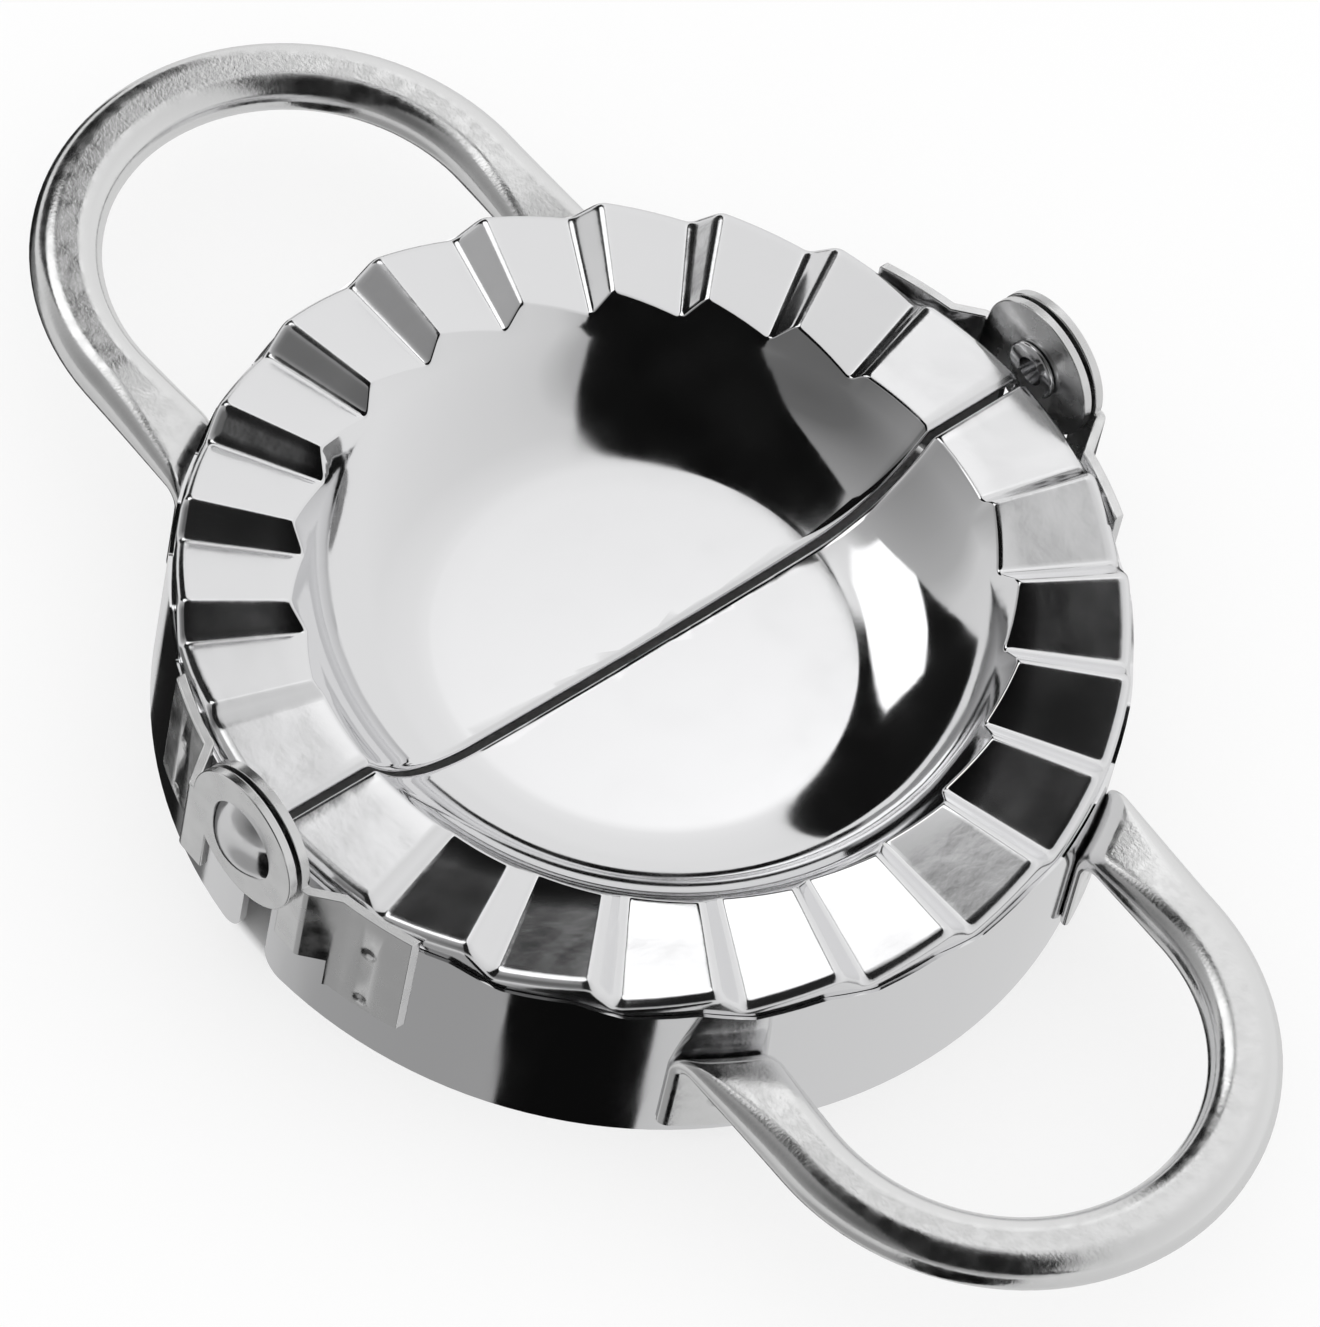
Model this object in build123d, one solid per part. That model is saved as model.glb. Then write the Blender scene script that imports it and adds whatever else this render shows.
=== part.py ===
"""Empanada press: two stamped half moulds that fold together on two riveted hinges.

The press lies open and flat, as it is filled. X runs along the hinge line, the two handles point
along -Y (front half) and +Y (rear half), and Z is up. The origin is the centre of the ring on the
surface that the cutter edges rest on. Each half is the other one turned 180 degrees about Z, so
every piece is made once, for the rear half, and turned for the front half.
"""
from build123d import *
import os
from math import asin, cos, degrees, radians, sin, sqrt, tan

os.makedirs("parts", exist_ok=True)

# ---- mould shell: one stamped sheet with teeth, rolled lip and bowl --------------------------
lip_radius = 47.1            # outside of the lip that turns down onto the ring
shell_sheet = 0.6            # wall of the stamped shell
lip_bend = 1.0               # outside bend radius from the teeth into the lip
tooth_plane = 22.0           # mean tooth surface above the resting edge
tooth_height = 2.5           # crest to trough at the outer corner of a tooth
teeth_per_half = 12
steep_angle = 4.1            # degrees taken by the steep flank of a tooth
split_gap = 0.7              # slot between the two open shells
tooth_round = 0.6            # along the crests and troughs
closed_gap = 0.7             # slot between the teeth when the press is shut

# ---- bowl, as depths below the mean tooth surface --------------------------------------------
mouth_radius = 35.4          # where the bowl's wall crosses the mean tooth surface
wall_slope = 52.0            # degrees
bowl_round = 17.0            # wall into floor
bowl_depth = 8.85            # at the centre
mouth_round = 0.5            # teeth into the bowl's wall
floor_radius = 600.0         # the floor is very nearly flat

# ---- cutter ring ------------------------------------------------------------------------------
ring_sheet = 0.8
ring_step = 0.4              # ring stands this far outside the lip
seam_depth = 1.9             # seam between lip and ring, below the mean tooth surface
seam_height = 1.2            # the seam rises and falls less than the teeth
seam_steep_angle = 6.5       # and less steeply
seam_round = 2.5             # along its crests and troughs
seam_gap = 0.1
ring_end_gap = 2.0           # from the hinge line to each end of the ring
ring_end_round = 2.5

# ---- handle: a tube bent to a loop, its ends flattened, turned down and spot-welded -----------
tube_width = 7.3
tube_height = 4.7
handle_drop = 8.75            # tube centre below the mean tooth surface
leg_spacing = 47.5           # between the centrelines of the two legs
handle_reach = 78.9          # loop centreline from the hinge line
strip_width = 8.6
strip_thickness = 1.2
strip_bend = 1.5             # inside radius where the strip turns down
strip_length = 5.4           # flat, from the ring to where the strip starts to open into the tube
tab_lift = 2.4               # bottom of the welded tab above the resting edge
tab_weld_radius = 1.4
tab_weld_height = 7.0        # above the resting edge

# ---- hinge leaves and rivets ------------------------------------------------------------------
leaf_sheet = 1.0
ear_radius = 7.5
ear_clearance = 1.2          # between the ring and the inside face of the inner ear
ear_gap = 0.5                # between the inner and the outer ear
plate_start = 10.4           # welded plate, from the hinge line
plate_end = 18.5
plate_bottom = 14.8          # below the mean tooth surface, which is the plate's top edge
neck_bottom = 10.6
neck_start = 4.9             # from the hinge line
ramp_start = 7.8             # where the leaf leaves the plane of its ear
shank_radius = 2.0
running_clearance = 0.06     # rivet shank in the ear that turns on it
press_clearance = 0.01       # rivet shank in the ear that holds it
head_radius = 4.3
head_height = 1.9
eyelet_radius = 3.2          # rolled inner end of the rivet
eyelet_height = 0.6
eyelet_bore = 1.3
eyelet_depth = 2.2
end_float = 0.1              # between the rolled end and the ear that turns on it
weld_radius = 0.9
weld_depth = 0.25
weld_spacing = 8.0
weld_drop = 9.4              # middle of the two welds below the mean tooth surface

# ---- derived places ---------------------------------------------------------------------------
pad_radius = lip_radius - lip_bend
ring_outer = lip_radius + ring_step
ring_inner = ring_outer - ring_sheet
leaf_outer = ring_outer + leaf_sheet
tab_outer = ring_outer + strip_thickness
pivot_height = tooth_plane + closed_gap / 2
handle_height = tooth_plane - handle_drop
bend_start = handle_reach - leg_spacing / 2      # where a leg runs into the half circle of the loop
strip_end = sqrt(ring_outer ** 2 - (leg_spacing / 2) ** 2) + strip_length
inner_ear_plane = ring_outer + ear_clearance     # inside face of the inner ear
outer_ear_plane = inner_ear_plane + leaf_sheet + ear_gap
tooth_pitch = 180.0 / teeth_per_half
core_radius = mouth_radius / 2   # well inside the bowl, where the flanks of the teeth start
core_overlap = shell_sheet
trim_radius = ring_outer + lip_bend      # past the ring, where the wave blocks end
block_bottom = -ring_sheet        # the wave blocks reach below the resting edge
far = 3 * ring_outer             # larger than any piece, for trimming boxes


# ---- teeth --------------------------------------------------------------------------------------
def wave_corners(height, steep):
    """(angle, height) of the crests and troughs of the rear half, from the +X end of the hinge.

    The first and the last tooth stay level, so that both halves meet flush at the hinge line.
    """
    corners = [(0.0, 0.0), (tooth_pitch / 2, 0.0), (tooth_pitch, 0.0)]
    for k in range(1, teeth_per_half - 1):
        start = k * tooth_pitch
        corners.append((start + steep / 2, -height / 2))
        corners.append((start + tooth_pitch - steep / 2, height / 2))
    return corners + [(180.0 - tooth_pitch, 0.0), (180.0 - tooth_pitch / 2, 0.0), (180.0, 0.0)]


tooth_wave = wave_corners(tooth_height, steep_angle)
seam_wave = wave_corners(seam_height, seam_steep_angle)


def wave_block(corners, lowered, crease_round=0.0):
    """Block under a wave, from the core out past the ring, with flat flanks and a level bottom.

    The flanks all aim at the ring's centre, so each is one plane. Crests and troughs are rounded.
    """
    prisms = []
    for start, end in zip(corners, corners[1:]):
        level, wavy = [], []
        for radius, (angle, height) in ((core_radius, start), (trim_radius, start),
                                        (trim_radius, end), (core_radius, end)):
            x, y = radius * cos(radians(angle)), radius * sin(radians(angle))
            level.append(Vector(x, y, block_bottom - lowered))
            wavy.append(Vector(x, y, tooth_plane - lowered + height * radius / pad_radius))
        sides = [Wire.make_polygon([level[k - 1], level[k], wavy[k], wavy[k - 1]]) for k in range(4)]
        faces = [Face(w) for w in [Wire.make_polygon(level), Wire.make_polygon(wavy)] + sides]
        prisms.append(Solid(Shell(faces)))
    block = Solid.fuse(prisms[0], *prisms[1:])
    if crease_round:
        creases = [e for e in block.edges() if is_crease(e, lowered)]
        block = fillet(creases, crease_round)
    return block


def flat_radius(point):
    """Distance of a point from the Z axis."""
    return sqrt(point.X ** 2 + point.Y ** 2)


def is_crease(edge, lowered):
    """True for a radial crest or trough on top of a wave block, not for its two end faces."""
    a, b = edge @ 0, edge @ 1
    radial = abs(abs(flat_radius(a) - flat_radius(b)) - (trim_radius - core_radius)) < 0.01
    on_top = min(a.Z, b.Z) > tooth_plane - lowered - tooth_height
    return radial and on_top and min(abs(a.Y), abs(b.Y)) > 0.01


# ---- mould shell -----------------------------------------------------------------------------
def bowl_space():
    """Section of the space inside the bowl, in the XZ plane, Z zero at the mean tooth surface."""
    wall = tan(radians(wall_slope))
    rim = (mouth_radius + tooth_height / wall, tooth_height)
    # the wall, z = wall * (x - mouth_radius), meets the sphere of the floor
    centre_z = floor_radius - bowl_depth
    a = 1 + wall ** 2
    b = wall * (wall * mouth_radius + centre_z)
    c = (wall * mouth_radius + centre_z) ** 2 - floor_radius ** 2
    foot_x = (b - sqrt(b * b - a * c)) / a
    foot_z = wall * (foot_x - mouth_radius)
    lines = Polyline((-foot_x, foot_z), (-rim[0], rim[1]), rim, (foot_x, foot_z))
    lines += RadiusArc((foot_x, foot_z), (-foot_x, foot_z), floor_radius)
    section = make_face(lines)
    feet = [v for v in section.vertices() if abs(v.Y - foot_z) < 0.01]
    return fillet(feet, bowl_round)


def bowl_solid(section):
    """Turn the +X side of a bowl section round the axis, at its place on the press."""
    keep = Pos(far / 2, 0) * Rectangle(far, far)
    return Pos(0, 0, tooth_plane) * revolve(Plane.XZ * (section & keep), Axis.Z, revolution_arc=360)


def pressed_form(bowl, lowered, edge_radius, crease_round=0.0):
    """Solid under a toothed surface, with a bowl in it and an upright outer edge."""
    block = wave_block(tooth_wave, lowered, crease_round)
    # the core fills the middle, under the bowl's floor
    core_top = tooth_plane - bowl_depth / 2
    core_bottom = block_bottom - lowered
    core = Pos(0, 0, (core_top + core_bottom) / 2) * Cylinder(
        core_radius + core_overlap, core_top - core_bottom)
    half = Pos(0, far / 2, 0) * Box(2 * far, far, 2 * far)
    inside_edge = Pos(0, 0, tooth_plane) * Cylinder(edge_radius, 2 * tooth_plane)
    return ((block + (core & half)) & inside_edge) - bowl_solid(bowl)


def on_rim(edge):
    """True for the edges where the teeth meet the upright lip."""
    ends = (edge @ 0, edge @ 1)
    return all(abs(flat_radius(p) - lip_radius) < 0.01 and p.Z > tooth_plane - tooth_height for p in ends)


def on_mouth(edge):
    """True for the edges where the teeth meet the bowl's wall."""
    wall = tan(radians(wall_slope))
    ends = (edge @ 0, edge @ 1)
    return edge.length > 0.1 and all(
        abs(flat_radius(p) - mouth_radius - (p.Z - tooth_plane) / wall) < 0.01
        and abs(p.Z - tooth_plane) < tooth_height for p in ends)


def mould_shell():
    """One pressed sheet: the solid under its upper side less the solid under its lower side."""
    space = bowl_space()
    upper = pressed_form(space, 0.0, lip_radius, tooth_round)
    upper = fillet([e for e in upper.edges() if on_rim(e)], lip_bend)
    upper = fillet([e for e in upper.edges() if on_mouth(e)], mouth_round)
    lower = pressed_form(offset(space, shell_sheet), shell_sheet, lip_radius - shell_sheet)
    under_seam = wave_block(seam_wave, seam_depth - seam_gap / 2, seam_round)
    under_seam -= Cylinder(pad_radius - lip_bend, 2 * tooth_plane)
    shell = upper - lower - under_seam
    keep = Pos(0, (far + split_gap) / 2, tooth_plane) * Box(2 * far, far, far)
    return shell & keep


# ---- cutter ring --------------------------------------------------------------------------------
def cutter_ring():
    """Cylindrical band under the lip, its top edge cut to the seam."""
    top = tooth_plane + tooth_height
    ring = Pos(0, 0, top / 2) * (Cylinder(ring_outer, top) - Cylinder(ring_inner, top))
    ring &= Pos(0, ring_end_gap + far / 2, 0) * Box(2 * far, far, far)
    ring &= wave_block(seam_wave, seam_depth + seam_gap / 2, seam_round)
    ends = [e for e in ring.edges().filter_by(Axis.X) if e.center().Z < tooth_plane / 2]
    return fillet(ends, ring_end_round)


# ---- handle -------------------------------------------------------------------------------------
def welded_tab(side):
    """Flattened tube end: flat along Y, turned down over a bend that follows the ring, then down."""
    top = handle_height + strip_thickness / 2
    profile = Polyline((ring_outer, tab_lift), (ring_outer, top), (far, top), (far, top - strip_thickness),
                       (tab_outer, top - strip_thickness), (tab_outer, tab_lift),
                       (ring_outer, tab_lift))
    face = make_face(profile)
    outer = [v for v in face.vertices() if abs(v.X - ring_outer) < 0.01 and abs(v.Y - top) < 0.01]
    face = fillet(outer, strip_bend + strip_thickness)
    inner = [v for v in face.vertices()
             if abs(v.X - tab_outer) < 0.01 and abs(v.Y - top + strip_thickness) < 0.01]
    face = fillet(inner, strip_bend)
    bent = revolve(Plane.XZ * face, Axis.Z, revolution_arc=180)
    slab = Pos(side * leg_spacing / 2, strip_end / 2, handle_height) * Box(
        strip_width, strip_end, 2 * handle_height)
    angle = 90 - side * degrees(asin(leg_spacing / 2 / tab_outer))
    return (bent & slab) - weld_dent(angle, tab_outer, tab_weld_height, tab_weld_radius)


def leg_section(side, share):
    """Section of a leg: the flattened strip at share 0, the full tube at share 1."""
    y = strip_end + share * (bend_start - strip_end)
    opened = share ** 2 * (3 - 2 * share)
    width = strip_width + opened * (tube_width - strip_width)
    height = strip_thickness + opened * (tube_height - strip_thickness)
    plane = Plane(origin=(side * leg_spacing / 2, y, handle_height), x_dir=(1, 0, 0), z_dir=(0, 1, 0))
    return plane * SlotOverall(width, height)


def handle():
    half = leg_spacing / 2
    bend = ThreePointArc((-half, bend_start, handle_height), (0, handle_reach, handle_height),
                         (half, bend_start, handle_height))
    result = sweep(leg_section(-1, 1.0), bend)
    for side in (-1, 1):
        result += loft([leg_section(side, share) for share in (0.0, 0.3, 0.7, 1.0)])
        result += welded_tab(side)
    return result


# ---- hinge leaves --------------------------------------------------------------------------------
def weld_dent(angle, surface_radius, height, radius):
    """Sphere that presses a shallow spot-weld dent into a surface round the ring."""
    ball = (radius ** 2 + weld_depth ** 2) / (2 * weld_depth)
    reach = surface_radius + ball - weld_depth
    return Pos(reach * cos(radians(angle)), reach * sin(radians(angle)), height) * Sphere(ball)


def leaf_plan(ear_plane):
    """Bent sheet seen from above, at the -X end: flat ear, ramp, and plate that hugs the ring."""
    seat_start = (-sqrt(ring_outer ** 2 - plate_start ** 2), plate_start)
    seat_end = (-sqrt(ring_outer ** 2 - plate_end ** 2), plate_end)
    middle_y = (plate_start + plate_end) / 2
    seat_middle = (-sqrt(ring_outer ** 2 - middle_y ** 2), middle_y)
    inner = Polyline((-ear_plane, -2 * ear_radius), (-ear_plane, ramp_start), seat_start)
    inner += ThreePointArc(seat_start, seat_middle, seat_end)
    sheet = make_face(offset(Wire(inner.edges()), leaf_sheet, side=Side.LEFT, kind=Kind.ARC))
    return extrude(sheet, 2 * tooth_plane)


def leaf_outline():
    """Leaf seen along the hinge line: round ear, neck, and rectangular plate, as a bar along X."""
    neck = make_face(Polyline(
        (0, pivot_height), (0, tooth_plane), (plate_start, tooth_plane),
        (plate_start, tooth_plane - neck_bottom), (neck_start, tooth_plane - neck_bottom),
        (neck_start, pivot_height), (0, pivot_height)))
    ear = Pos(0, pivot_height) * Circle(ear_radius)
    plate = Pos((plate_start + plate_end) / 2, tooth_plane - plate_bottom / 2) * Rectangle(
        plate_end - plate_start, plate_bottom)
    outline = Plane.YZ * (ear + neck + plate)
    return extrude(Pos(-far / 2, 0, 0) * outline, far, dir=(1, 0, 0))


def hinge_leaf(ear_plane, hole_radius):
    """Hinge leaf at the -X end of the rear half."""
    leaf = leaf_plan(ear_plane) & leaf_outline()
    leaf -= Pos(-ear_plane, 0, pivot_height) * Rot(0, 90, 0) * Cylinder(hole_radius, 4 * leaf_sheet)
    middle_y = (plate_start + plate_end) / 2
    angle = 180 - degrees(asin(middle_y / leaf_outer))
    for step in (-0.5, 0.5):
        height = tooth_plane - weld_drop + step * weld_spacing
        leaf -= weld_dent(angle, leaf_outer, height, weld_radius)
    return leaf


# ---- rivets --------------------------------------------------------------------------------------
def hinge_rivet():
    """Domed rivet through both ears at the -X end, rolled over on the inside."""
    seat = outer_ear_plane + leaf_sheet
    roll = inner_ear_plane - end_float
    tip = roll - eyelet_height
    lip = eyelet_height / 2
    dome = (head_radius ** 2 + head_height ** 2) / (2 * head_height)
    outline = Polyline((tip + eyelet_depth, 0), (tip + eyelet_depth, eyelet_bore), (tip, eyelet_bore + lip))
    outline += Line((tip, eyelet_bore + lip), (tip, eyelet_radius - lip))
    outline += ThreePointArc((tip, eyelet_radius - lip),
                             (tip + lip, eyelet_radius), (roll, eyelet_radius - lip))
    outline += Polyline((roll, eyelet_radius - lip), (roll, shank_radius), (seat, shank_radius), (seat, head_radius))
    outline += RadiusArc((seat, head_radius), (seat + head_height, 0), dome)
    outline += Line((seat + head_height, 0), (tip + eyelet_depth, 0))
    body = revolve(make_face(outline), Axis.X, revolution_arc=360)
    return Pos(0, 0, pivot_height) * Rot(0, 0, 180) * body


def mirrored_end(piece):
    return mirror(piece, about=Plane.YZ)


def main():
    pieces = {
        "rear_mould_shell": mould_shell(),
        "rear_cutter_ring": cutter_ring(),
        "rear_handle": handle(),
        "rear_outer_hinge_leaf": hinge_leaf(outer_ear_plane, shank_radius + press_clearance),
        "rear_inner_hinge_leaf": mirrored_end(hinge_leaf(inner_ear_plane, shank_radius + running_clearance)),
        "rear_hinge_rivet": hinge_rivet(),
    }
    for name, piece in pieces.items():
        export_step(piece, f"parts/{name}.step")
        front = Rot(0, 0, 180) * piece
        export_step(front, f"parts/{name.replace('rear', 'front')}.step")


main()
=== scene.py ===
# %% [markdown]
# An empanada press is two stamped steel half moulds on cutter rings, with looped tube handles and
# two riveted hinges. The imported model already gives every piece its place and its joint, so the
# scene starts by loading it.
# %% Load the frame
import bpy
import bmesh
from math import atan2, cos, pi, radians, sin, sqrt, tan
from mathutils import Matrix, Vector


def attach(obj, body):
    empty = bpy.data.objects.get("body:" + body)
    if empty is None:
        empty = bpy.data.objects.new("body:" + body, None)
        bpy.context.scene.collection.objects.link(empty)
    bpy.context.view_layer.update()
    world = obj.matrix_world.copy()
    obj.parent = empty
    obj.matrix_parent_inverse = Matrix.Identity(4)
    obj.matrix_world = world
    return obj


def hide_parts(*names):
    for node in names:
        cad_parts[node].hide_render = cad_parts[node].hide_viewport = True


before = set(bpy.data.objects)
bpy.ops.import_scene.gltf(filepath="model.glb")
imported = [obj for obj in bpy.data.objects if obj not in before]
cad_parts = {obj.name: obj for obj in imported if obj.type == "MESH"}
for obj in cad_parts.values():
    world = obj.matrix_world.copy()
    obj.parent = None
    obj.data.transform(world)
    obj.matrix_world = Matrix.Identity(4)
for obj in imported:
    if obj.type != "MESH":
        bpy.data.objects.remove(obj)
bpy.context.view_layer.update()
mm = 0.001


# %% [markdown]
# Two jobs come back for every piece: a finished bmesh becomes a mesh, and a mesh or a camera
# becomes an object that is linked to the scene. In Blender an object that isn't linked exists but
# can't be seen, so both steps are kept together in small helpers.
# %% Helpers for meshes and objects
def mesh_from(bm, name):
    """Turn a finished bmesh into a mesh and free it."""
    mesh = bpy.data.meshes.new(name)
    bm.to_mesh(mesh)
    bm.free()
    return mesh


def put_in_scene(name, data):
    """Object that holds the given mesh or camera, linked to the scene."""
    thing = bpy.data.objects.new(name, data)
    bpy.context.scene.collection.objects.link(thing)
    return thing


print("helpers ready:", mesh_from.__name__, put_in_scene.__name__)

# %% [markdown]
# The press is looked at from above its left front corner, from almost a metre away, which keeps
# the ring an almost true ellipse. The view could be dialled in by hand, but three angles say it
# exactly: round the press, up from the table, and a roll about the lens until the hinge line runs
# uphill. From them come the three directions of the picture: towards the eye, right and up.
# %% Viewpoint
tooth_plane = 22.0 * mm            # middle height of the teeth, and height of the hinge line
ring_centre = Vector((0, 0, tooth_plane))
view_round, view_down, view_roll = radians(-49.35), radians(54.77), radians(12.80)
view_distance = 994.0 * mm
away = Vector((sin(view_round) * cos(view_down), -cos(view_round) * cos(view_down), sin(view_down)))
level_right = Vector((cos(view_round), sin(view_round), 0))
level_up = away.cross(level_right)
right = level_right * cos(view_roll) + level_up * sin(view_roll)
up = level_up * cos(view_roll) - level_right * sin(view_roll)
print("eye stands towards", [round(number, 3) for number in away])

# %% [markdown]
# The middle of the ring lies a little above the middle of the picture, because the near handle
# reaches further down than the far one reaches up. A lens shift would do that too, but turning the
# camera itself is simpler to follow: it aims a little past the ring, and its right and up are made
# square to that aim. Blender's camera looks along its own -Z, so the matrix takes minus the aim.
# %% Camera
picture_width, picture_height, focal_length = 1320, 1327, 10206.5     # all in pixels
ring_at = (656.2, 595.2)                                              # ring centre in the picture
aim = (-away + right * ((picture_width / 2 - ring_at[0]) / focal_length)
       - up * ((picture_height / 2 - ring_at[1]) / focal_length)).normalized()
camera_right = (right - aim * right.dot(aim)).normalized()
camera_up = camera_right.cross(aim)
camera = put_in_scene("camera", bpy.data.cameras.new("camera"))
camera.data.sensor_width = 36.0
camera.data.lens = focal_length * 36.0 / max(picture_width, picture_height)
camera.data.clip_start, camera.data.clip_end = 0.05, 20.0
turned = Matrix((camera_right, camera_up, -aim)).transposed().to_4x4()
camera.matrix_world = Matrix.Translation(ring_centre + away * view_distance) @ turned
bpy.context.scene.camera = camera
bpy.context.scene.view_settings.view_transform = "Standard"
print("lens", round(camera.data.lens, 1), "mm")


# %% [markdown]
# Every piece is stainless steel, so each finish is a metal shader with a pale grey colour. What
# tells one piece from another is how smooth it is. One even mirror would look like plastic film:
# real sheet has smudges, hairlines too fine to see one by one, and a slight waviness from the
# press. The pattern is taken from Object coordinates, which are metres on the piece, so the size
# of a smudge can be given in millimetres.
# %% A steel
def new_material(name):
    """Material with nodes: itself, its nodes, its links and its shader."""
    material = bpy.data.materials.new(name)
    material.use_nodes = True
    nodes = material.node_tree.nodes
    return material, nodes, material.node_tree.links, nodes["Principled BSDF"]


def steel(name, grey):
    """Bare metal of one grey, with the socket that gives places on the piece."""
    material, nodes, links, shader = new_material(name)
    shader.inputs["Base Color"].default_value = (grey, grey, grey * 1.01, 1)
    shader.inputs["Metallic"].default_value = 1.0
    place = nodes.new("ShaderNodeTexCoord").outputs["Object"]
    return material, nodes, links, shader, place


print("steel starts from", steel.__name__)


# %% [markdown]
# Noise is the raw stuff of every smudge and scratch. A Mapping node squeezes it where the marks
# run one way, as hairlines do, and a Map Range turns its middle greys into the range of a
# roughness or a share. An image of scratches could do the same, but noise has no seams and stays
# sharp however close the camera comes.
# %% Patches and ranges
def patches(nodes, links, place, size, detail=2.0, stretch=(1, 1, 1)):
    """Noise whose lighter and darker patches are about one size across."""
    mapping = nodes.new("ShaderNodeMapping")
    mapping.inputs["Scale"].default_value = stretch
    noise = nodes.new("ShaderNodeTexNoise")
    noise.inputs["Scale"].default_value = 1 / size
    noise.inputs["Detail"].default_value = detail
    links.new(place, mapping.inputs["Vector"])
    links.new(mapping.outputs["Vector"], noise.inputs["Vector"])
    return noise.outputs["Fac"]


def between(nodes, links, value, start, end, low, high):
    """Turn a value that runs from start to end into one that runs from low to high."""
    span = nodes.new("ShaderNodeMapRange")
    numbers = {"From Min": start, "From Max": end, "To Min": low, "To Max": high}
    for socket, number in numbers.items():
        span.inputs[socket].default_value = number
    links.new(value, span.inputs["Value"])
    return span.outputs["Result"]


print("patterns from", patches.__name__, "and", between.__name__)


# %% [markdown]
# Relief is what bends a reflection. Dents of a few hundredths of a millimetre are too shallow to
# model, so a Bump node tilts the shading instead. Bumps are laid one over another, from the
# widest waves to the finest hairlines, and a share can keep one of them to a part of the piece.
# %% Relief
def relief(nodes, links, height, depth, over=None, share=None):
    """Bump of a depth in metres, laid over another bump, and only where a share is given."""
    bump = nodes.new("ShaderNodeBump")
    bump.inputs["Distance"].default_value = depth
    links.new(height, bump.inputs["Height"])
    if over:
        links.new(over, bump.inputs["Normal"])
    if share:
        links.new(share, bump.inputs["Strength"])
    return bump.outputs["Normal"]


print("relief from", relief.__name__)


# %% [markdown]
# Some patterns depend on a distance, such as the one from the axis of the press or from a weld.
# Math nodes work those out. A vector operation answers on one of two sockets, so the name of the
# socket is given with it.
# %% Sums on the surface
def vector_sum(nodes, links, operation, vector, other=None, answer="Vector"):
    """Vector Math on a place or a direction, with a fixed second vector where one is needed."""
    step = nodes.new("ShaderNodeVectorMath")
    step.operation = operation
    links.new(vector, step.inputs[0])
    if other is not None:
        step.inputs[1].default_value = other
    return step.outputs[answer]


def number_sum(nodes, links, operation, *values):
    """Math on the given sockets; a plain number in their place is set on the node."""
    step = nodes.new("ShaderNodeMath")
    step.operation = operation
    for value, socket in zip(values, step.inputs):
        if isinstance(value, float):
            socket.default_value = value
        else:
            links.new(value, socket)
    return step.outputs["Value"]


print("sums from", vector_sum.__name__, "and", number_sum.__name__)


# %% [markdown]
# The half moulds are drawn from sheet with a mirror polish. Their bowl stays true, but the toothed
# rim is crimped, which leaves it wavier and a little duller. Two materials would show a hard
# border between them, so one material has a mask that grows from the mouth of the bowl outwards.
# %% Mirror polish of the half moulds
crimped_from, crimped_fully = 35.5 * mm, 38 * mm       # distances from the axis of the press
crimp_dulls = 0.10                                     # roughness that crimping adds


def mirror_polish():
    material, nodes, links, shader, place = steel("mirror_polish", 0.86)
    sideways = vector_sum(nodes, links, "MULTIPLY", place, (1, 1, 0))
    from_axis = vector_sum(nodes, links, "LENGTH", sideways, answer="Value")
    on_rim = between(nodes, links, from_axis, crimped_from, crimped_fully, 0.04, 1.0)
    smudges = patches(nodes, links, place, 7 * mm, detail=5.0)
    smudged = between(nodes, links, smudges, 0.35, 0.7, 0.03, 0.085)
    duller_rim = number_sum(nodes, links, "MULTIPLY_ADD", on_rim, crimp_dulls, smudged)
    links.new(duller_rim, shader.inputs["Roughness"])
    waves = relief(nodes, links, patches(nodes, links, place, 7 * mm), 0.06 * mm, share=on_rim)
    ripples = relief(nodes, links, patches(nodes, links, place, 0.9 * mm), 0.006 * mm,
                     over=waves, share=on_rim)
    scratches = patches(nodes, links, place, 0.25 * mm, stretch=(1, 6, 1))
    links.new(relief(nodes, links, scratches, 0.0003 * mm, over=ripples), shader.inputs["Normal"])
    return material


shell_steel = mirror_polish()
print("finish", shell_steel.name)


# %% [markdown]
# The cutter rings are rolled strip, polished but not trued, so reflections wander along their
# wall. Rolling leaves long waves, so the noise is stretched upwards for the waves and squeezed
# sideways for the hairlines.
# %% Rolled strip of the rings
def rolled_strip():
    material, nodes, links, shader, place = steel("rolled_strip", 0.84)
    smudges = patches(nodes, links, place, 5 * mm, detail=5.0, stretch=(1, 1, 0.4))
    links.new(between(nodes, links, smudges, 0.35, 0.7, 0.045, 0.11), shader.inputs["Roughness"])
    rolled = patches(nodes, links, place, 11 * mm, stretch=(1, 1, 0.3))
    waves = relief(nodes, links, rolled, 0.12 * mm)
    scratches = patches(nodes, links, place, 0.3 * mm, stretch=(6, 6, 1))
    links.new(relief(nodes, links, scratches, 0.0004 * mm, over=waves), shader.inputs["Normal"])
    return material


ring_steel = rolled_strip()
print("finish", ring_steel.name)


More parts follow.
